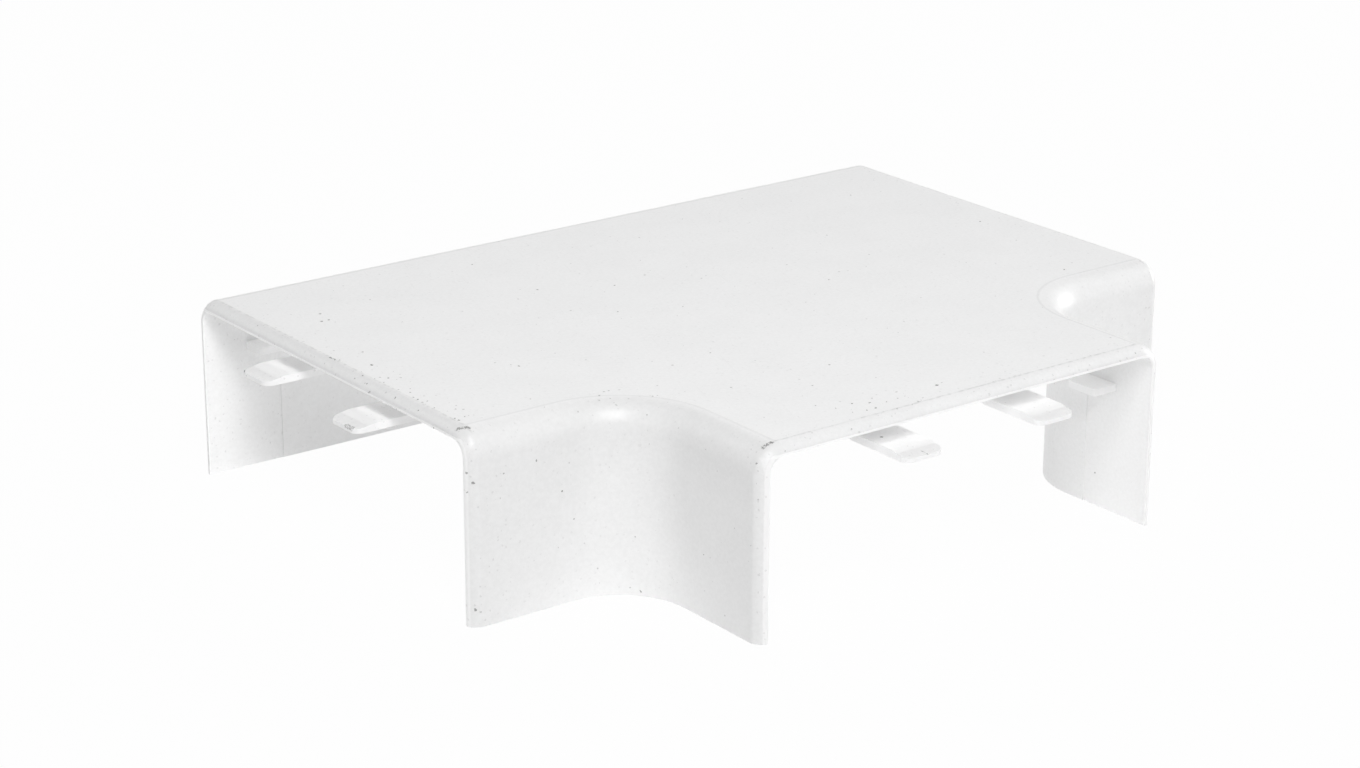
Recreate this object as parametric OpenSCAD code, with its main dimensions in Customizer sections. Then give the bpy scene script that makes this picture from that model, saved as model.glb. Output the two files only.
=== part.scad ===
// Flat tee fitting for surface-mounted cable trunking.
// One white moulding: a shallow cover, open underneath and at three ends, that clips
// over the ends of three trunking lengths. The run lies along X and the branch points
// to -Y. The origin is at the middle of the overall footprint, tongues included, on the
// plane of the wall that it is fixed to.

/* [Trunking] */
// Outer width of the trunking that the tee covers
trunking_w = 58.6; // [40:0.1:100]
// Outer height of the trunking that the tee covers
trunking_h = 21.8; // [18:0.1:40]
// Clearance between the trunking and each side wall
side_clearance = 0.2; // [0.1:0.05:0.5]
// Clearance between the trunking's lid and the plate
lid_clearance = 0.3; // [0.1:0.05:0.6]

/* [Shell] */
// Thickness of the walls and of the top plate
wall = 1.5; // [1.3:0.1:2]
// Distance from the run's front wall to the branch opening, and the same for each arm
arm_reach = 23; // [21:0.2:40]
// Plan radius of the outer wall where an arm turns into the branch
elbow_r = 9.3; // [5:0.1:12]
// Radius of the rounded edge round the top plate
top_edge_r = 3.3; // [2.4:0.1:4]

/* [Lip at each opening] */
// Distance from the opening back to the crease where the lip starts to round over
lip_l = 1.4; // [0.6:0.1:2]
// Radius of the rounded lip
lip_r = 2.2; // [1.6:0.1:4]
// Flat that is left between the lip and the inner face of a socket
lip_land = 0.4; // [0.1:0.05:0.6]

/* [Sockets] */
// How far a trunking end slides into each opening
socket_depth = 10.8; // [9.5:0.1:16]
// How much thinner the walls and the plate are along each socket
socket_relief = 0.1; // [0.1:0.05:0.3]

/* [Tongues] */
// Distance between the two tongues of an opening, centre to centre
tongue_pitch = 20.4; // [12:0.2:26]
// Width of a tongue
tongue_w = 5.8; // [4:0.1:8]
// How far a tongue stands out of its opening
tongue_reach = 3.9; // [1:0.1:6]
// Gap between the plate and a tongue, which takes the trunking lid
lid_gap = 2.1; // [1.4:0.1:3]
// Thickness of a tongue
tongue_t = 0.95; // [0.8:0.05:1.6]
// Thickness left at a tongue's tip by its lead-in slope
tongue_tip_t = 0.5; // [0.3:0.05:0.8]
// Length of the lead-in slope
lead_in = 2.6; // [1:0.1:3]
// Plan radius of a tongue's two tip corners
tongue_corner_r = 1.2; // [0.5:0.1:2]
// Where the slot between a tongue and the plate ends, measured inwards from the opening
slot_depth = 6.5; // [4:0.1:8]

/* [Side fins] */
// How far a fin stands out of its side wall
fin_w = 3.6; // [2:0.1:6]
// Thickness of a fin
fin_t = 0.9; // [0.6:0.1:1.4]
// Depth of a fin's lower face below the plate
fin_drop = 6.2; // [5:0.1:8]
// Distance from the opening to a fin's front edge
fin_setback = 6; // [4:0.1:8]
// Plan radius of a fin's free corners
fin_corner_r = 0.5; // [0.3:0.1:1.2]

/* [Hidden] */
$fn = 96;

// Inner and outer widths follow the trunking, and so does the height
inner_w = trunking_w + 2 * side_clearance;
outer_w = inner_w + 2 * wall;
outer_h = trunking_h + lid_clearance + wall;
half_w = outer_w / 2;
// Length of the run between its two openings, with equal arms
run_l = outer_w + 2 * arm_reach;
// Overall depth, from the back wall to the tips of the branch's tongues
depth = outer_w + arm_reach + tongue_reach;
// The run's centre line and the branch opening, with the origin at mid-footprint
run_y = depth / 2 - half_w;
branch_y = tongue_reach - depth / 2;
// Height of the plate's lower face
plate_z = outer_h - wall;
// How far the lip falls from the outer face to the opening
lip_drop = wall - socket_relief - lip_land;
// Overshoot of cutting tools past the faces that they cut
over = 1;

// Profile across an arm, as the outside (inset 0) or the hollow (inset of one wall)
module arch(inset, r) {
    w = outer_w - 2 * inset;
    h = outer_h - inset;
    foot = inset > 0 ? over : 0;
    union() {
        translate([-w / 2, -foot]) square([w, h - r + foot]);
        translate([-w / 2 + r, 0]) square([w - 2 * r, h]);
        for (s = [-1, 1]) translate([s * (w / 2 - r), h - r]) circle(r);
    }
}

// A straight arm that runs from a start to an end along +X, with the arch as its section
module straight(inset, r, start, end) {
    translate([start, 0, 0]) rotate([90, 0, 90])
        linear_extrude(height = end - start) arch(inset, r);
}

// Air on the fillet's side of a curved wall: everything within plan_r of its axis, and
// the piece above the rounded top edge
module elbow_air(plan_r, h, r) {
    rotate_extrude(angle = 90) difference() {
        translate([0, -2 * over]) square([plan_r + r, h + 3 * over]);
        difference() {
            translate([plan_r, -3 * over]) square([2 * r, h + 3 * over]);
            difference() {
                translate([plan_r - over, h - r]) square([r + over, r + over]);
                translate([plan_r + r, h - r]) circle(r);
            }
        }
    }
}

// Block that fills the corner between the +X arm and the branch, with its curved wall
module elbow(inset, r) {
    plan_r = elbow_r + inset;
    h = outer_h - inset;
    foot = inset > 0 ? over : 0;
    translate([half_w + elbow_r, run_y - half_w - elbow_r, 0]) mirror([1, 0, 0])
        difference() {
            translate([0, 0, -foot]) cube([plan_r + r, plan_r + r, h + foot]);
            elbow_air(plan_r, h, r);
        }
}

// The whole tee form at one inset, carried past the three openings by an extra length
module tee_form(inset, extra) {
    r = top_edge_r - inset;
    translate([0, run_y, 0]) straight(inset, r, -run_l / 2 - extra, run_l / 2 + extra);
    rotate([0, 0, -90]) straight(inset, r, -run_y, -branch_y + extra);
    elbow(inset, r);
    mirror([1, 0, 0]) elbow(inset, r);
}

// Places children at each opening: their +X points out of it, and x = 0 is its plane
module at_openings() {
    translate([run_l / 2, run_y, 0]) children();
    translate([-run_l / 2, run_y, 0]) rotate([0, 0, 180]) children();
    translate([0, branch_y, 0]) rotate([0, 0, -90]) children();
}

// Section of the waste outside the lip: x leads out of the opening, y out of the wall's
// outer face. The lip is an arc from the crease on that face to the opening plane.
module lip_waste() {
    chord = norm([lip_l, lip_drop]);
    sag = sqrt(lip_r * lip_r - chord * chord / 4);
    centre = [-lip_l / 2, -lip_drop / 2] - [lip_drop, lip_l] * sag / chord;
    difference() {
        polygon([[-lip_l, 0], [-lip_l, over], [over, over], [over, -lip_drop], [0, -lip_drop]]);
        translate(centre) circle(lip_r);
    }
}

// Waste all round one opening: up both sides, round both top corners and over the top
module mouth_waste() {
    leg_h = outer_h - top_edge_r;
    for (s = [0, 1]) mirror([0, s, 0]) {
        translate([0, half_w, -over]) linear_extrude(height = leg_h + over) lip_waste();
        translate([0, half_w - top_edge_r, leg_h]) rotate([90, 0, 90])
            rotate_extrude(angle = 90) translate([top_edge_r, 0]) mirror([1, -1, 0]) lip_waste();
    }
    translate([0, half_w - top_edge_r, outer_h]) rotate([90, 0, 0])
        linear_extrude(height = outer_w - 2 * top_edge_r) lip_waste();
}

// Shallow relief in the walls and the plate that a trunking end slides into
module socket_cut() {
    deeper = wall - socket_relief;
    straight(deeper, top_edge_r - deeper, -socket_depth, over);
}

// Plan of a tab that stands out along +X from x = 0, with its two free corners rounded
module tab_plan(l, w, r) {
    translate([0, -w / 2]) square([l - r, w]);
    translate([0, r - w / 2]) square([l, w - 2 * r]);
    for (s = [-1, 1]) translate([l - r, s * (w / 2 - r)]) circle(r);
}

// Side view of a tongue: x leads out of the opening, y is the height above its lower
// face. It hangs from the plate, bends round the end of the lid gap and runs out level.
module tongue_side() {
    slot_r = lid_gap / 2;
    bend_r = slot_r + tongue_t;
    back = -slot_depth - tongue_t;
    difference() {
        union() {
            translate([back + bend_r, 0]) square([tongue_reach - back - bend_r, 2 * bend_r]);
            translate([back + bend_r, bend_r]) circle(bend_r);
            translate([back, bend_r]) square([bend_r, lid_gap / 2 + wall / 2]);
        }
        translate([slot_r - slot_depth, tongue_t + slot_r]) circle(slot_r);
        translate([slot_r - slot_depth, tongue_t])
            square([slot_depth + tongue_reach, lid_gap + wall]);
        polygon([
            [tongue_reach - lead_in, tongue_t],
            [tongue_reach, tongue_tip_t],
            [tongue_reach + over, tongue_tip_t],
            [tongue_reach + over, tongue_t]
        ]);
    }
}

// A tongue that stands out of the opening under the lid gap
module tongue() {
    back = slot_depth + tongue_t + over;
    low = plate_z - lid_gap - tongue_t;
    intersection() {
        translate([0, tongue_w / 2, low]) rotate([90, 0, 0])
            linear_extrude(height = tongue_w) tongue_side();
        translate([-back, 0, low - over]) linear_extrude(height = outer_h - low + over)
            tab_plan(back + tongue_reach, tongue_w, tongue_corner_r);
    }
}

// A thin shelf on the side wall at +Y, under the edge of the lid
module fin() {
    l = socket_depth - fin_setback;
    root = side_clearance + wall / 2;
    translate([-socket_depth + l / 2, inner_w / 2 + root, plate_z - fin_drop])
        rotate([0, 0, -90]) linear_extrude(height = fin_t)
            tab_plan(fin_w + root, l, fin_corner_r);
}

module tee_cover() {
    color("white") {
        difference() {
            tee_form(0, 0);
            tee_form(wall, over);
            at_openings() {
                socket_cut();
                mouth_waste();
            }
        }
        at_openings() {
            for (s = [-1, 1]) translate([0, s * tongue_pitch / 2, 0]) tongue();
            fin();
            mirror([0, 1, 0]) fin();
        }
    }
}

tee_cover();
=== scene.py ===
# %% [markdown]
# # A white trunking tee, dressed for a studio picture
# The object is the flat tee fitting that joins three lengths of surface trunking. It is a
# single injection moulding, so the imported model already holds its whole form. What is left
# for Blender is what a camera would notice: a satin white plastic with a fine grain, light
# that comes through its thin parts, and the small marks that a fitting picks up in its box.

# %% Load the fixed frame
import math

import bpy
from mathutils import Matrix, Vector


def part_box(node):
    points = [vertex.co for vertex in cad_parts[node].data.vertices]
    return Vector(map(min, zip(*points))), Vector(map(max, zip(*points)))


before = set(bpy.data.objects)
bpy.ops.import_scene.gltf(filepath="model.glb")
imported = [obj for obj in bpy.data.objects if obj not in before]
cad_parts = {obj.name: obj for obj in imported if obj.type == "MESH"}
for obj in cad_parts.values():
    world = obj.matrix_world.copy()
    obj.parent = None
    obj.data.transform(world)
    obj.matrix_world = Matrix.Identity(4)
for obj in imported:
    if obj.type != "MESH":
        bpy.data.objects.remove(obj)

MM = 0.001
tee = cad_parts["tee_cover"]
bpy.context.view_layer.update()
tee_low, tee_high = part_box("tee_cover")
print("tee, in mm:", [round((b - a) / MM, 1) for a, b in zip(tee_low, tee_high)])

# %% [markdown]
# ## The camera
# The picture was taken from the front left and a little above, with a fairly long lens, so
# that the far arm is only slightly smaller than the near one. A camera that is described by
# where it aims, from what bearing, how steeply and how far, is easy to think about, and the
# few numbers below can be read off the picture's vanishing lines. The focal length is the
# one that makes the fitting fill the same part of the frame.

# %% Place the camera
SENSOR_MM = 36.0
FRAME_WIDTH_PX = 1360
FOCAL_PX = 3168.1
AIM_MM = (-7.0, 5.76, 13.01)
BEARING_DEG = 37.18
STEEPNESS_DEG = 19.572
ROLL_DEG = 0.225
DISTANCE_MM = 399.2


def direction(bearing_deg, steepness_deg):
    """Unit vector of a look along +Y at bearing 0, turned towards +X, that dips by the steepness."""
    turn, down = math.radians(bearing_deg), math.radians(steepness_deg)
    return Vector((math.sin(turn) * math.cos(down), math.cos(turn) * math.cos(down), -math.sin(down)))


looking = direction(BEARING_DEG, STEEPNESS_DEG)
camera = bpy.data.objects.new("camera", bpy.data.cameras.new("camera"))
bpy.context.scene.collection.objects.link(camera)
camera.data.sensor_width = SENSOR_MM
camera.data.lens = FOCAL_PX / FRAME_WIDTH_PX * SENSOR_MM
camera.data.clip_start, camera.data.clip_end = 0.01, 20.0
roll = Matrix.Rotation(math.radians(ROLL_DEG), 3, "Z")
facing = looking.to_track_quat("-Z", "Y").to_matrix() @ roll
stand = Vector(AIM_MM) * MM - looking * DISTANCE_MM * MM
camera.matrix_world = Matrix.Translation(stand) @ facing.to_4x4()
bpy.context.scene.camera = camera
print("lens, in mm:", round(camera.data.lens, 1))

# %% [markdown]
# ## Small helpers for node trees
# A procedural finish is a chain of small steps, and each step is a node. Writing the steps
# as function calls keeps the recipe readable: one call per node, inputs by name, and the
# result is the output socket that the next step takes.

# %% Node helpers


def add_node(tree, kind, inputs=None, output=0, **settings):
    """Adds a node, sets its options, links or fills its inputs and returns one of its outputs."""
    made = tree.nodes.new(kind)
    for key, value in settings.items():
        setattr(made, key, value)
    for key, value in (inputs or {}).items():
        if isinstance(value, bpy.types.NodeSocket):
            tree.links.new(value, made.inputs[key])
        else:
            made.inputs[key].default_value = value
    return made.outputs[output] if made.outputs else made


def maths(tree, operation, first, second=0.0, clamp=False):
    return add_node(tree, "ShaderNodeMath", {0: first, 1: second}, operation=operation, use_clamp=clamp)


def ramp(tree, value, low, high, to_low=0.0, to_high=1.0):
    """A smooth step: to_low below low, to_high above high, and an S-curve between them."""
    limits = {"Value": value, "From Min": low, "From Max": high, "To Min": to_low, "To Max": to_high}
    return add_node(tree, "ShaderNodeMapRange", limits, interpolation_type="SMOOTHSTEP")


def noise(tree, position, per_mm, detail=2.0, roughness=0.5):
    return add_node(tree, "ShaderNodeTexNoise", {"Vector": position, "Scale": per_mm, "Detail": detail,
                                                 "Roughness": roughness})


def blend_colours(tree, amount, first, second):
    return add_node(tree, "ShaderNodeMix", {0: amount, 6: first, 7: second}, output=2, data_type="RGBA")


def new_material(name):
    material = bpy.data.materials.new(name)
    material.use_nodes = True
    material.node_tree.nodes.clear()
    return material


print("helpers ready for Blender", bpy.app.version_string)

# %% [markdown]
# ## The floor
# The picture stands on white with next to no shadow. A floor that is simply painted white
# would still come out grey wherever the fitting shades it, so its material has three parts:
# a matt white that catches the soft shadow, a plain white glow that only a direct look or a
# reflection sees, and a weaker glow that lights the walls from below. The share between the
# first two sets how much of the shadow is left.

# %% Lay the floor
FLOOR_HALF_MM = 3000
FLOOR_GAP_MM = 0.02
FLOOR_GLOW_SHARE = 0.98
TABLE_LIGHT = 0.39
FLOOR_WHITE = (0.65, 0.65, 0.65, 1.0)
FULL_WHITE = (1, 1, 1, 1)


def seen_directly(tree):
    """1 for camera, glossy and transmission rays, 0 for the rays that carry light."""
    path = tree.nodes.new("ShaderNodeLightPath")
    mirror = maths(tree, "MAXIMUM", path.outputs["Is Glossy Ray"], path.outputs["Is Transmission Ray"])
    return maths(tree, "MAXIMUM", path.outputs["Is Camera Ray"], mirror)


def floor_material():
    material = new_material("studio_floor")
    tree = material.node_tree
    matt = add_node(tree, "ShaderNodeBsdfDiffuse", {"Color": FLOOR_WHITE})
    glow = add_node(tree, "ShaderNodeEmission", {"Color": FULL_WHITE, "Strength": 1.0})
    seen = seen_directly(tree)
    share = maths(tree, "MULTIPLY", seen, FLOOR_GLOW_SHARE)
    painted = add_node(tree, "ShaderNodeMixShader", {0: share, 1: matt, 2: glow})
    from_below = add_node(tree, "ShaderNodeMapRange", {"Value": seen, "To Min": TABLE_LIGHT, "To Max": 0.0})
    table = add_node(tree, "ShaderNodeEmission", {"Color": FULL_WHITE, "Strength": from_below})
    both = add_node(tree, "ShaderNodeAddShader", {0: painted, 1: table})
    add_node(tree, "ShaderNodeOutputMaterial", {"Surface": both})
    return material


half = FLOOR_HALF_MM * MM
floor_corners = [(-half, -half, 0), (half, -half, 0), (half, half, 0), (-half, half, 0)]
floor_mesh = bpy.data.meshes.new("floor")
floor_mesh.from_pydata(floor_corners, [], [(0, 1, 2, 3)])
floor = bpy.data.objects.new("floor", floor_mesh)
floor.location.z = tee_low.z - FLOOR_GAP_MM * MM
bpy.context.scene.collection.objects.link(floor)
floor.data.materials.append(floor_material())
print("floor laid at", round(floor.location.z / MM, 2), "mm")

# %% [markdown]
# ## The light
# White plastic on white is drawn by very small differences: the plate is a touch lighter
# than the front walls, the wall that faces left is the darkest, and the swept corner between
# them catches a soft glow. A tent of even light would wash all of that out. The surround is
# therefore white only to look at and lights nothing. Two small panels near the camera are
# the key, and large soft ones from above and from the sides fill the rest. Each panel is
# placed by bearing and height round the fitting, at one distance.

# %% Light the set
WORLD_LIGHT = 0.0
PANEL_DISTANCE_MM = 700
PANELS = {
    # name: (bearing and height of the panel in degrees, side in mm, power in watts)
    "key": (210, 38, 180, 1.3),
    "key_high": (215, 55, 200, 1.75),
    "overhead": (217, 82, 600, 0.6),
    "left": (330, 35, 420, 0.5),
    "back": (37, 35, 420, 0.5),
    "right": (100, 35, 420, 0.75),
    "right_low": (100, 8, 300, 1.65),
}

world = bpy.data.worlds.new("surround")
bpy.context.scene.world = world
world.use_nodes = True
world.node_tree.nodes.clear()
sky = world.node_tree
level = add_node(sky, "ShaderNodeMapRange", {"Value": seen_directly(sky), "To Min": WORLD_LIGHT, "To Max": 1.0})
even = add_node(sky, "ShaderNodeBackground", {"Color": FULL_WHITE, "Strength": level})
add_node(sky, "ShaderNodeOutputWorld", {"Surface": even})


def add_panel(name, bearing, height, side_mm, watts):
    """A square soft panel that looks at the fitting's middle."""
    light = bpy.data.lights.new(name, "AREA")
    light.shape = "SQUARE"
    light.size = side_mm * MM
    light.energy = watts
    panel = bpy.data.objects.new(name, light)
    bpy.context.scene.collection.objects.link(panel)
    towards = direction(bearing, -height)
    panel.location = (tee_low + tee_high) / 2 + towards * PANEL_DISTANCE_MM * MM
    panel.rotation_mode = "QUATERNION"
    panel.rotation_quaternion = towards.to_track_quat("Z", "Y")


for panel_name, numbers in PANELS.items():
    add_panel(panel_name, *numbers)
print("panels:", ", ".join(PANELS))

# %% [markdown]
# ## The moulding's edges
# A solid model has perfectly sharp edges, and nothing moulded does. The mesh stays as it was
# packed, and modifiers on top of it join its faces, bevel the edges that turn sharply and
# weight the normals, so that the large flats shade as flats. The edges are chosen by a small
# node group, because the shallow steps where the sockets end should take less than the rest.
# Blender never lets a bevel run over its neighbour, and it holds all of them to the tightest
# spot. Some edges of this mesh are so short that about a hundredth of a millimetre is left of
# the radius. That is too narrow to show as a round. It still has a use: the normals of a flat
# end at its bevel, and do not smear round a tongue or a fin.

# %% Choose the edges
SHARP_DEG = 40
TONGUE_MM = 3.9
LIP_MM = 1.4
SOCKET_MM = 10.8
STEP_SHARE = 0.2
RUN_OPENING_MM = tee_high.x / MM - TONGUE_MM
BRANCH_OPENING_MM = tee_low.y / MM + TONGUE_MM


def sharp_edges():
    """A node group that marks every sharp edge, with a small share for the sockets' steps."""
    group = bpy.data.node_groups.new("sharp_edges", "GeometryNodeTree")
    group.interface.new_socket("Geometry", in_out="INPUT", socket_type="NodeSocketGeometry")
    group.interface.new_socket("Geometry", in_out="OUTPUT", socket_type="NodeSocketGeometry")
    given = add_node(group, "NodeGroupInput")
    turn = add_node(group, "GeometryNodeInputMeshEdgeAngle")
    spot = add_node(group, "ShaderNodeVectorMath",
                    {0: add_node(group, "GeometryNodeInputPosition"), "Scale": 1 / MM}, operation="SCALE")
    x, y, _ = add_node(group, "ShaderNodeSeparateXYZ", {0: spot}).node.outputs
    from_run = maths(group, "SUBTRACT", RUN_OPENING_MM - SOCKET_MM, maths(group, "ABSOLUTE", x))
    from_branch = maths(group, "SUBTRACT", y, BRANCH_OPENING_MM + SOCKET_MM)
    at_step = maths(group, "MINIMUM", maths(group, "ABSOLUTE", from_run), maths(group, "ABSOLUTE", from_branch))
    sharp = maths(group, "GREATER_THAN", turn, math.radians(SHARP_DEG))
    weight = maths(group, "MULTIPLY", sharp, ramp(group, at_step, 0.04, 0.06, STEP_SHARE, 1.0))
    marked = add_node(group, "GeometryNodeStoreNamedAttribute",
                      {"Geometry": given, "Name": "bevel_weight_edge", "Value": weight},
                      data_type="FLOAT", domain="EDGE")
    add_node(group, "NodeGroupOutput", {0: marked})
    return group


weld = tee.modifiers.new("weld", "WELD")
weld.merge_threshold = 0.001 * MM
chosen = tee.modifiers.new("sharp_edges", "NODES")
chosen.node_group = sharp_edges()
print("edges that turn by over", SHARP_DEG, "degrees are marked")

# %% Soften the edges
EDGE_RADIUS_MM = 0.2
BEVEL_STEPS = 3
NORMAL_WEIGHT = 60
FOOT_MM = 0.5

bevel = tee.modifiers.new("edge_radius", "BEVEL")
bevel.limit_method = "WEIGHT"
bevel.width = EDGE_RADIUS_MM * MM
bevel.segments = BEVEL_STEPS
normals = tee.modifiers.new("even_normals", "WEIGHTED_NORMAL")
normals.weight = NORMAL_WEIGHT

bpy.context.view_layer.update()
bevelled = tee.evaluated_get(bpy.context.evaluated_depsgraph_get())
softened = bevelled.to_mesh()
feet = sorted({round(vertex.co.z / MM, 2) for vertex in softened.vertices if vertex.co.z < FOOT_MM * MM})
print("faces after the bevel:", len(softened.polygons), "heights in the feet's rounding, in mm:", feet)
bevelled.to_mesh_clear()

# %% [markdown]
# ## The plastic
# The fitting is a satin white plastic. Up close it has a very fine grain from the mould, a
# faint waviness where thick and thin sections cooled at different speeds, and shallow
# rubbing scratches on the plate. All of it is worked out from position, in millimetres, so
# it sits at the right scale on every side. The material is built up from small layers, and
# each layer is a mask: a number from 0 to 1 that says how much of it is there.

# %% Masks for the surface


def strongest(tree, masks):
    """The largest of several masks."""
    total = masks[0]
    for mask in masks[1:]:
        total = maths(tree, "MAXIMUM", total, mask)
    return total


def product(tree, masks):
    """Where all of several masks hold."""
    total = masks[0]
    for mask in masks[1:]:
        total = maths(tree, "MULTIPLY", total, mask)
    return total


def scatter(tree, position, spacing_mm, largest_mm, share=1.0):
    """Round specks of random size, up to the largest. The share says how many cells have one."""
    cells = add_node(tree, "ShaderNodeTexVoronoi", {"Vector": position, "Scale": 1 / spacing_mm}).node
    distance = maths(tree, "MULTIPLY", cells.outputs["Distance"], spacing_mm)
    chance = add_node(tree, "ShaderNodeSeparateColor", {0: cells.outputs["Color"]})
    size = ramp(tree, chance, 1 - share, 1.0, 0.0, largest_mm)
    return ramp(tree, maths(tree, "SUBTRACT", size, distance), -0.02, 0.04)


def dots(tree, position, spots, soft_mm=0.05):
    """One soft round dot for each (x, y, z, radius, strength), in mm."""
    masks = []
    for x, y, z, radius, strength in spots:
        away = add_node(tree, "ShaderNodeVectorMath", {0: position, 1: (x, y, z)}, output=1, operation="DISTANCE")
        masks.append(ramp(tree, away, max(radius - soft_mm, 0.0), radius + soft_mm, strength, 0.0))
    return strongest(tree, masks)


def smear(tree, position, first, last, radius, strength):
    """A soft mark along the straight line between two points."""
    reach = Vector(last) - Vector(first)
    offset = add_node(tree, "ShaderNodeVectorMath", {0: position, 1: first}, operation="SUBTRACT")
    along = add_node(tree, "ShaderNodeVectorMath", {0: offset, 1: reach / reach.length_squared},
                     output=1, operation="DOT_PRODUCT")
    along = maths(tree, "ADD", along, 0.0, clamp=True)
    nearest = add_node(tree, "ShaderNodeVectorMath", {0: reach, "Scale": along}, operation="SCALE")
    away = add_node(tree, "ShaderNodeVectorMath", {0: offset, 1: nearest}, output=1, operation="DISTANCE")
    return ramp(tree, away, radius * 0.5, radius, strength, 0.0)


def band(tree, value, middle, half_width, soft):
    """1 where the value is within half_width of the middle, fading to 0 over the soft distance."""
    off = maths(tree, "ABSOLUTE", maths(tree, "SUBTRACT", value, middle))
    return ramp(tree, off, half_width, half_width + soft, 1.0, 0.0)


def scratches(tree, position, turn_deg, share):
    """Short hair-fine lines that run one way: stretched noise that is cut off near its top."""
    turned = add_node(tree, "ShaderNodeVectorRotate", {"Vector": position, "Angle": math.radians(turn_deg)},
                      rotation_type="Z_AXIS")
    stretched = add_node(tree, "ShaderNodeVectorMath", {0: turned, 1: (0.12, 6.0, 0.5)}, operation="MULTIPLY")
    return ramp(tree, noise(tree, stretched, 1.0, detail=1.0), 1 - share, 1 - share + 0.06)


print("mask helpers ready")

# %% [markdown]
# ## Where a point lies
# Most of the masks ask the same questions: how far is this point from the middle of the run
# or of the branch, and how close is it to a mouth? The answers are worked out once, from the
# position, and kept together. Distances towards a mouth are counted from the crease where
# its lip starts to roll over, so 0 is the crease and the lip's width is the opening itself.

# %% Measure where a point lies
PLATE_THICKNESS_MM = 1.5
RUN_HALF_MM = 31.0
ELBOW_R_MM = 9.3
TOP_MM = tee_high.z / MM
PLATE_MM = TOP_MM - PLATE_THICKNESS_MM
RUN_CREASE_MM = RUN_OPENING_MM - LIP_MM
BRANCH_CREASE_MM = BRANCH_OPENING_MM + LIP_MM
RUN_MIDDLE_MM = tee_high.y / MM - RUN_HALF_MM


class Spot:
    """The point that is being shaded, as sockets in mm."""

    def __init__(self, tree):
        self.place = add_node(tree, "ShaderNodeVectorMath", {0: add_node(tree, "ShaderNodeTexCoord", output=3),
                                                             "Scale": 1 / MM}, operation="SCALE")
        self.x, self.y, self.z = add_node(tree, "ShaderNodeSeparateXYZ", {0: self.place}).node.outputs
        # The same place, shifted a little at random, which makes round marks ragged
        wobble = add_node(tree, "ShaderNodeTexNoise", {"Vector": self.place, "Scale": 4.0, "Detail": 1.0}, output=1)
        wobble = add_node(tree, "ShaderNodeVectorMath", {0: wobble, 1: (0.5, 0.5, 0.5)}, operation="SUBTRACT")
        self.ragged = add_node(tree, "ShaderNodeVectorMath", {0: wobble, 1: (0.35, 0.35, 0.35), 2: self.place},
                               operation="MULTIPLY_ADD")
        self.across_run = maths(tree, "ABSOLUTE", maths(tree, "SUBTRACT", self.y, RUN_MIDDLE_MM))
        self.across_branch = maths(tree, "ABSOLUTE", self.x)
        self.along_run = maths(tree, "SUBTRACT", self.across_branch, RUN_CREASE_MM)
        self.along_branch = maths(tree, "SUBTRACT", BRANCH_CREASE_MM, self.y)
        self.outwards = maths(tree, "MAXIMUM", self.along_run, self.along_branch)
        self.out = maths(tree, "SUBTRACT", self.outwards, LIP_MM)


print("plate from", round(PLATE_MM, 2), "to", round(TOP_MM, 2), "mm, run's middle at", round(RUN_MIDDLE_MM, 2))

# %% [markdown]
# ## Two darker lines
# A faint darker line runs round the plate where its flat ends and the rounded edge begins.
# A crease runs across the plate, a little way in from each mouth, where the lip starts to
# roll over. Both are shallow, and a slightly darker tone draws them; along the crease that
# tone is painted shade.

# %% Draw the darker lines


def crease_line(tree, spot):
    near = band(tree, spot.outwards, 0.0, 0.06, 0.16)
    return maths(tree, "MULTIPLY", near, ramp(tree, spot.z, TOP_MM - 0.7, TOP_MM - 0.3))


def flat_edge_line(tree, spot):
    under_flat = ramp(tree, spot.z, TOP_MM - 0.002, TOP_MM - 0.0005, 1.0, 0.0)
    return maths(tree, "MULTIPLY", ramp(tree, spot.z, TOP_MM - 0.035, TOP_MM - 0.015), under_flat)


print("creases at", round(RUN_CREASE_MM, 2), "and", round(BRANCH_CREASE_MM, 2), "mm")

# %% [markdown]
# ## Wear and dirt
# Nothing tells the size of a thing like its dirt. The plate has rubbed against others in a
# box, so the two front corners are scuffed, dark grains are pressed in beside the lips, and
# a broken line of dust has settled in the creases. The marks that catch the eye are placed one
# by one. A cluster is a round zone in which a fine scatter of grains is allowed to show, and an
# even, much weaker scatter covers every side.

# %% Lists of the marks
SINGLE_DOTS = [
    # x, y, z, radius (mm), strength
    (-46.5, 26.5, 23.6, 0.16, 0.8), (-45.5, 26.5, 23.6, 0.13, 0.8), (-45.3, 25.3, 23.6, 0.1, 0.5),
    (-50.2, 9.0, 23.6, 0.19, 0.9), (-1.3, -36.0, 23.6, 0.2, 1.0), (-38.0, 1.0, 23.6, 0.12, 0.5),
    (45.5, 1.0, 23.6, 0.13, 0.5), (-13.0, -27.5, 23.6, 0.12, 0.6), (-17.0, -33.0, 23.6, 0.12, 0.6),
    (-48.0, -17.5, 22.5, 0.16, 0.8), (-45.0, -17.5, 18.5, 0.13, 0.7), (-49.5, -17.5, 18.0, 0.12, 0.6),
    (-41.5, -17.5, 14.0, 0.14, 0.8), (-11.3, -38.0, 20.0, 0.2, 1.0), (-53.9, -16.7, 18.8, 0.16, 0.7),
    (-53.4, -17.2, 17.6, 0.18, 0.7), (-53.9, -16.7, 16.5, 0.12, 0.6), (-53.4, -17.2, 2.2, 0.18, 0.7),
]
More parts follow.
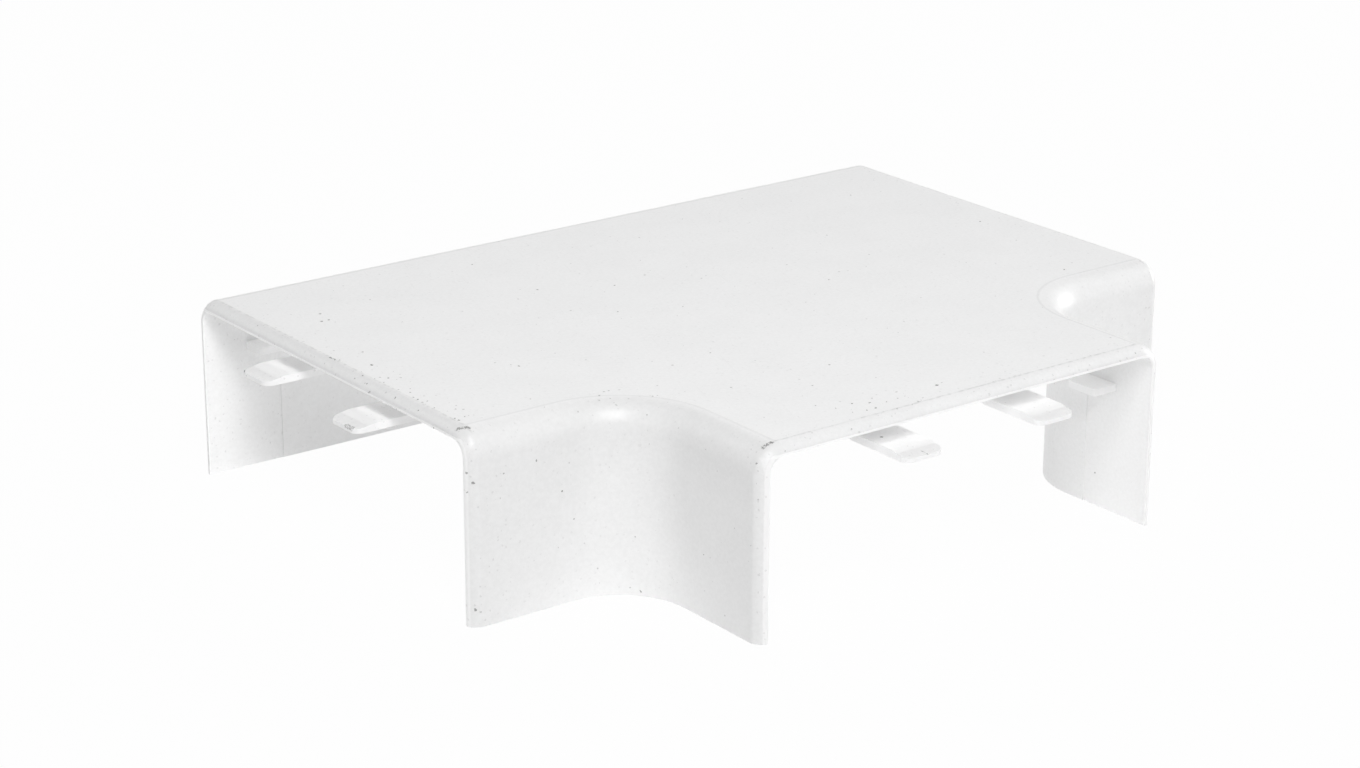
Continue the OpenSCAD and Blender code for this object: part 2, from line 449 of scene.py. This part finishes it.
CLUSTERS = [
    # middle x, y, z, reach (mm), strength
    (-14.0, -36.5, 23.6, 2.4, 0.95), (-10.5, -36.5, 23.6, 2.4, 0.9), (-7.0, -36.7, 23.6, 2.2, 0.8),
    (-51.5, 14.0, 23.6, 1.8, 0.7), (-51.8, 5.0, 23.6, 3.0, 0.5), (-52.5, -2.0, 23.6, 2.2, 0.6),
    (-52.5, -6.0, 23.6, 2.5, 0.85), (-52.5, -10.5, 23.6, 2.8, 1.0), (-29.6, -20.4, 23.6, 1.6, 0.8),
    (-33.5, -16.2, 23.6, 1.8, 0.6),
]
SMEARS = [
    # from x, y, z, to x, y, z (mm), radius, strength
    ((-53.4, -14.3, 23.2), (-52.5, -15.2, 23.4), 0.32, 0.75),
    ((-52.7, 14.4, 23.6), (-52.6, 13.1, 23.6), 0.14, 0.9),
    ((-29.4, -39.0, 23.1), (-28.3, -39.1, 23.5), 0.32, 0.8),
    ((-10.1, -43.4, 19.7), (-9.9, -44.4, 19.5), 0.1, 0.8),
    ((-57.7, 2.6, 19.6), (-57.7, 1.4, 19.6), 0.45, 0.6),
]
print("marks placed:", len(SINGLE_DOTS) + len(CLUSTERS) + len(SMEARS))

# %% Gather the dirt
CLUSTER_SOFT_MM = 1.0


def dirt_mask(tree, spot, crease):
    near_lip = ramp(tree, spot.outwards, -6.0, 0.0)
    everywhere = ramp(tree, near_lip, 0.0, 1.0, 0.08, 0.16)
    allowed = maths(tree, "ADD", dots(tree, spot.place, CLUSTERS, CLUSTER_SOFT_MM), everywhere)
    large = maths(tree, "MULTIPLY", scatter(tree, spot.ragged, 3.0, 0.16), 0.7)
    middling = maths(tree, "MULTIPLY", scatter(tree, spot.ragged, 1.6, 0.13), 0.35)
    fine = maths(tree, "MULTIPLY", scatter(tree, spot.ragged, 0.6, 0.15, 0.75), allowed)
    broken = ramp(tree, noise(tree, spot.place, 1.6, detail=3.0), 0.42, 0.62)
    dust = maths(tree, "MULTIPLY", broken, maths(tree, "MULTIPLY", crease, 0.16))
    flakes = ramp(tree, noise(tree, spot.place, 5.0, detail=2.0), 0.38, 0.56)
    smears = strongest(tree, [smear(tree, spot.ragged, *row) for row in SMEARS])
    scuffs = maths(tree, "MULTIPLY", smears, flakes)
    return strongest(tree, [large, middling, fine, dust, scuffs, dots(tree, spot.ragged, SINGLE_DOTS)])


print("scatters at 3, 1.6 and 0.6 mm, and scuffs that flake")

# %% [markdown]
# ## The plastic's own tone, with painted shade in the creases
# No white is even. Four very weak layers darken it in places: a mottling at the size of the
# grain, a cloudiness of a few millimetres, rubbing scratches on the plate and the two darker
# lines, of which the crease's is painted shade. Together they take off less than a fifth, and
# most points lose far less.

# %% Shade the white
PLASTIC_WHITE = (0.93, 0.93, 0.93, 1.0)
BLACK = (0.0, 0.0, 0.0, 1.0)
SPECK_GREY = (0.13, 0.125, 0.12, 1.0)


def plastic_tint(tree, spot, crease):
    mottle = ramp(tree, noise(tree, spot.place, 2.2, detail=3.0, roughness=0.7), 0.3, 0.7, 0.0, 0.045)
    cloud = ramp(tree, noise(tree, spot.place, 0.12, detail=2.0), 0.3, 0.7, 0.0, 0.015)
    on_plate = ramp(tree, spot.z, TOP_MM - 0.01, TOP_MM - 0.002)
    hairs = maths(tree, "MAXIMUM", scratches(tree, spot.place, 25, 0.3), scratches(tree, spot.place, 110, 0.28))
    hairs = product(tree, [hairs, on_plate, 0.05])
    # Painted shade: a slightly darker tone along the creases where the lips roll over, beside a faint darker line
    # where the plate's flat ends
    flat_edge_tone = maths(tree, "MULTIPLY", flat_edge_line(tree, spot), 0.085)
    lines = maths(tree, "MAXIMUM", flat_edge_tone, maths(tree, "MULTIPLY", crease, 0.05))
    shade = maths(tree, "ADD", maths(tree, "ADD", mottle, cloud), maths(tree, "ADD", hairs, lines))
    return blend_colours(tree, shade, PLASTIC_WHITE, BLACK)


print("white of", PLASTIC_WHITE[0], "and specks of", SPECK_GREY[0])

# %% [markdown]
# ## The relief
# The grain is a few thousandths of a millimetre deep, and the waves are long and low. Both
# are bump, because no outline shows them. The third part is a correction: the top of each
# tongue is modelled as a straight lead-in slope, and on the real one a slope leads to a short
# flat tip. The difference is under half a millimetre, so only the way the face is lit changes.

# %% Raise the relief
GRAIN_MM = 0.002
WAVES_MM = 0.06
LEAD_IN_STARTS_MM = 1.3
LEAD_IN_DROP_MM = 0.45
SLOPE_FROM_MM = 0.1
SLOPE_TO_MM = 2.3
TONGUE_TOP_MM = TOP_MM - 3.5


def tongue_tops(tree, spot):
    """1 on the upward faces at and below the tongues' tops."""
    faces = add_node(tree, "ShaderNodeNewGeometry", output=1)
    upright = add_node(tree, "ShaderNodeSeparateXYZ", {0: faces}, output=2)
    below = ramp(tree, spot.z, TONGUE_TOP_MM - 0.02, TONGUE_TOP_MM, 1.0, 0.0)
    return maths(tree, "MULTIPLY", ramp(tree, upright, 0.5, 0.6), below)


def relief(tree, spot, on_tongue):
    level_again = add_node(tree, "ShaderNodeMapRange", {"Value": spot.out, "From Min": LEAD_IN_STARTS_MM,
                                                        "From Max": TONGUE_MM, "To Min": 0.0,
                                                        "To Max": LEAD_IN_DROP_MM})
    slope = ramp(tree, spot.out, SLOPE_FROM_MM, SLOPE_TO_MM, 0.0, LEAD_IN_DROP_MM)
    height = maths(tree, "MULTIPLY", maths(tree, "SUBTRACT", level_again, slope), on_tongue)
    grain = noise(tree, spot.place, 5.0, detail=3.0)
    waves = noise(tree, spot.place, 0.04, detail=1.0)
    height = maths(tree, "ADD", height, maths(tree, "MULTIPLY", grain, GRAIN_MM))
    height = maths(tree, "ADD", height, maths(tree, "MULTIPLY", waves, WAVES_MM))
    return add_node(tree, "ShaderNodeBump", {"Height": height, "Distance": MM, "Strength": 1.0})


print("grain", GRAIN_MM, "mm and waves", WAVES_MM, "mm deep")

# %% [markdown]
# ## Light that comes through
# A wall of a millimetre and a half lets some light pass, and the tongues, the fins and the
# thin rims of the mouths let more of it. Rather than tracing light inside the plastic, the
# parts that would be lit from behind get a faint glow of their own, and the outer faces get
# none. Tracing light inside the plastic was tried first: the render took about a third longer
# and the tones came no nearer to the picture. A face counts as inner when it is nearer to the
# middle of the run or the branch than the middle of the wall is, or lies behind that line in
# the curved wall of a corner.

# %% Find the thin parts
THROUGH_WALLS = 0.045
THROUGH_TONGUES = 0.065
THROUGH_RIM = 0.15
TIP_SHARE = 0.9
END_SHARE = 0.5
HALF_WALL_MM = 0.7
TONGUES_REACH_MM = 13.5
FIN_ROOT_MM = 29.4
WALL_ENDS_MM = 29.0
FIN_MIDDLE_MM = PLATE_MM - 5.75


def inner_faces(tree, spot):
    axis_x = RUN_HALF_MM + ELBOW_R_MM
    axis_y = RUN_MIDDLE_MM - axis_x
    middle = RUN_HALF_MM - HALF_WALL_MM
    to_axis = add_node(tree, "ShaderNodeCombineXYZ", {0: maths(tree, "SUBTRACT", axis_x, spot.across_branch),
                                                      1: maths(tree, "SUBTRACT", spot.y, axis_y)})
    from_axis = add_node(tree, "ShaderNodeVectorMath", {0: to_axis}, output=1, operation="LENGTH")
    corner = product(tree, [maths(tree, "LESS_THAN", spot.across_branch, axis_x),
                            maths(tree, "GREATER_THAN", spot.y, axis_y),
                            maths(tree, "GREATER_THAN", from_axis, ELBOW_R_MM + HALF_WALL_MM)])
    in_run = maths(tree, "LESS_THAN", spot.across_run, middle)
    in_branch = maths(tree, "LESS_THAN", spot.across_branch, middle)
    before_back_wall = maths(tree, "LESS_THAN", spot.y, RUN_MIDDLE_MM + middle)
    under_plate = ramp(tree, spot.z, PLATE_MM + 0.1, PLATE_MM + 0.2, 1.0, 0.0)
    weaker_at_foot = ramp(tree, spot.z, 0.0, 9.0, 0.6, 1.0)
    hollow = strongest(tree, [in_run, in_branch, corner])
    return product(tree, [hollow, before_back_wall, under_plate, weaker_at_foot])


def tongues_and_fins(tree, spot, on_tongue):
    run_tongues = maths(tree, "MULTIPLY", ramp(tree, spot.along_run, -6.0, 0.0),
                        ramp(tree, spot.across_run, TONGUES_REACH_MM, TONGUES_REACH_MM + 0.1, 1.0, 0.0))
    branch_tongues = maths(tree, "MULTIPLY", ramp(tree, spot.along_branch, -6.0, 0.0),
                           ramp(tree, spot.across_branch, TONGUES_REACH_MM, TONGUES_REACH_MM + 0.1, 1.0, 0.0))
    tongues = product(tree, [maths(tree, "MAXIMUM", run_tongues, branch_tongues),
                             ramp(tree, spot.z, TONGUE_TOP_MM - 1.2, TONGUE_TOP_MM - 1.1),
                             ramp(tree, spot.z, TONGUE_TOP_MM, TONGUE_TOP_MM + 0.1, 1.0, 0.0)])
    # Painted light: the tips' top faces get less glow, so the slope behind them stays lighter, as a face turned
    # more towards the key lamps would
    tips = maths(tree, "MULTIPLY", on_tongue, ramp(tree, spot.out, 2.0, 2.4, 0.0, TIP_SHARE))
    tongues = maths(tree, "SUBTRACT", tongues, tips, clamp=True)
    branch_fins = maths(tree, "MULTIPLY", maths(tree, "LESS_THAN", spot.across_branch, FIN_ROOT_MM),
                        maths(tree, "GREATER_THAN", spot.along_branch, -12.0))
    fins = maths(tree, "MAXIMUM", maths(tree, "LESS_THAN", spot.across_run, FIN_ROOT_MM), branch_fins)
    fins = maths(tree, "MULTIPLY", fins, band(tree, spot.z, FIN_MIDDLE_MM, 0.5, 0.05))
    return maths(tree, "MAXIMUM", tongues, fins)


def thin_rims(tree, spot):
    """The lower edge of the plate at each mouth, and at a lower share the ends of the walls."""
    plate_rim = product(tree, [ramp(tree, spot.z, PLATE_MM + 0.3, PLATE_MM + 0.42, 1.0, 0.0),
                               ramp(tree, spot.z, PLATE_MM, PLATE_MM + 0.05),
                               ramp(tree, spot.outwards, LIP_MM - 0.25, LIP_MM - 0.15)])
    wall_ends = [maths(tree, "MULTIPLY", ramp(tree, along, LIP_MM - 0.2, LIP_MM - 0.1),
                       maths(tree, "GREATER_THAN", across, WALL_ENDS_MM))
                 for along, across in ((spot.along_run, spot.across_run), (spot.along_branch, spot.across_branch))]
    return maths(tree, "MAXIMUM", plate_rim, maths(tree, "MULTIPLY", strongest(tree, wall_ends), END_SHARE))


def light_through(tree, spot, on_tongue):
    shares = ((inner_faces(tree, spot), THROUGH_WALLS), (tongues_and_fins(tree, spot, on_tongue), THROUGH_TONGUES),
              (thin_rims(tree, spot), THROUGH_RIM))
    walls, tongues, rims = [maths(tree, "MULTIPLY", mask, strength) for mask, strength in shares]
    return maths(tree, "ADD", maths(tree, "ADD", walls, tongues), rims)


print("glow of walls, tongues and rims:", THROUGH_WALLS, THROUGH_TONGUES, THROUGH_RIM)

# %% [markdown]
# ## The finished plastic
# The layers come together in one shader. Dirt covers the tint and is duller than the plastic.
# The gloss wanders a little with a fine noise, which keeps the broad highlights on the swept
# corners from looking machined.

# %% Make the plastic
PLASTIC_IOR = 1.5
GLOSSIEST = 0.34
DULLEST = 0.42
DIRT_DULLS = 0.3


def plastic_material():
    material = new_material("white_plastic")
    tree = material.node_tree
    spot = Spot(tree)
    crease = crease_line(tree, spot)
    dirt = dirt_mask(tree, spot, crease)
    tint = plastic_tint(tree, spot, crease)
    on_tongue = tongue_tops(tree, spot)
    gloss = ramp(tree, noise(tree, spot.place, 3.0), 0.3, 0.7, GLOSSIEST, DULLEST)
    surface = add_node(tree, "ShaderNodeBsdfPrincipled", {
        "Base Color": blend_colours(tree, dirt, tint, SPECK_GREY),
        "Roughness": maths(tree, "ADD", gloss, maths(tree, "MULTIPLY", dirt, DIRT_DULLS)),
        "Normal": relief(tree, spot, on_tongue),
        "IOR": PLASTIC_IOR,
        "Emission Color": tint,
        "Emission Strength": light_through(tree, spot, on_tongue),
    })
    add_node(tree, "ShaderNodeOutputMaterial", {"Surface": surface})
    return material


tee.data.materials.clear()
tee.data.materials.append(plastic_material())
print("plastic on", tee.name)

# %% [markdown]
# ## The picture's tones
# The Standard view shows each colour as it was written, which is what a white object needs:
# a film-like curve would turn the whites grey.

# %% Set the view
bpy.context.scene.view_settings.view_transform = "Standard"
bpy.context.view_layer.update()
